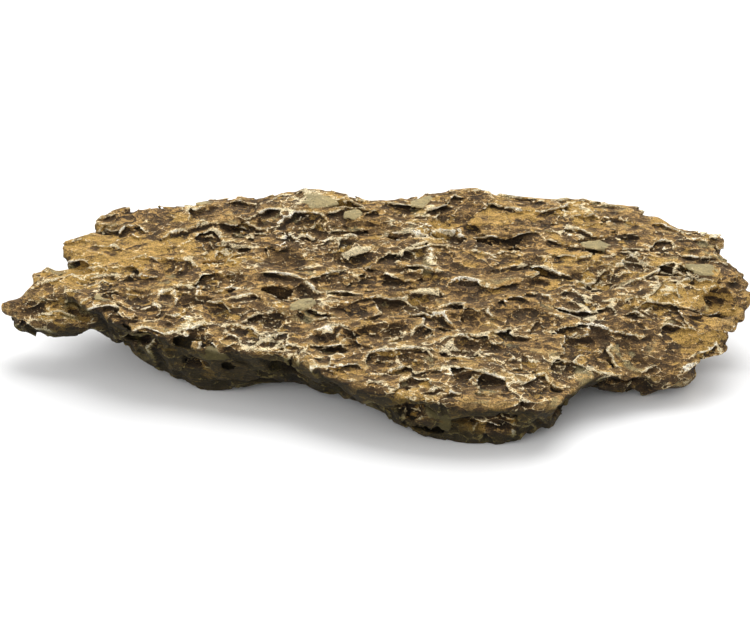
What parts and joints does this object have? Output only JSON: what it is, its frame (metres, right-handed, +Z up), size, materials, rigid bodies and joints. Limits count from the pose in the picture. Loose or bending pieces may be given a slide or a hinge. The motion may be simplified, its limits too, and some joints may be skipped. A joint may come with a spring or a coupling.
{
  "type": "dragon stone",
  "caption": "Loose slab of dragon stone, its tilted top and flanks weathered into sharp-rimmed scooped hollows, used to build up aquarium and terrarium layouts.",
  "frame": {"origin": "middle of the bounding box's bottom, at the level the stone stands on", "axes": "+X along the slab's length, from the thin forked end to the blunter end; +Y from the low front rim to the high back rim; +Z up"},
  "size_m": [0.306, 0.126, 0.0576],
  "materials": {
    "clay_rock": "dry, matt, unsealed weathered clay rock"
  },
  "bodies": {
    "root": {"dragon_stone": "clay_rock"}
  },
  "joints": []
}
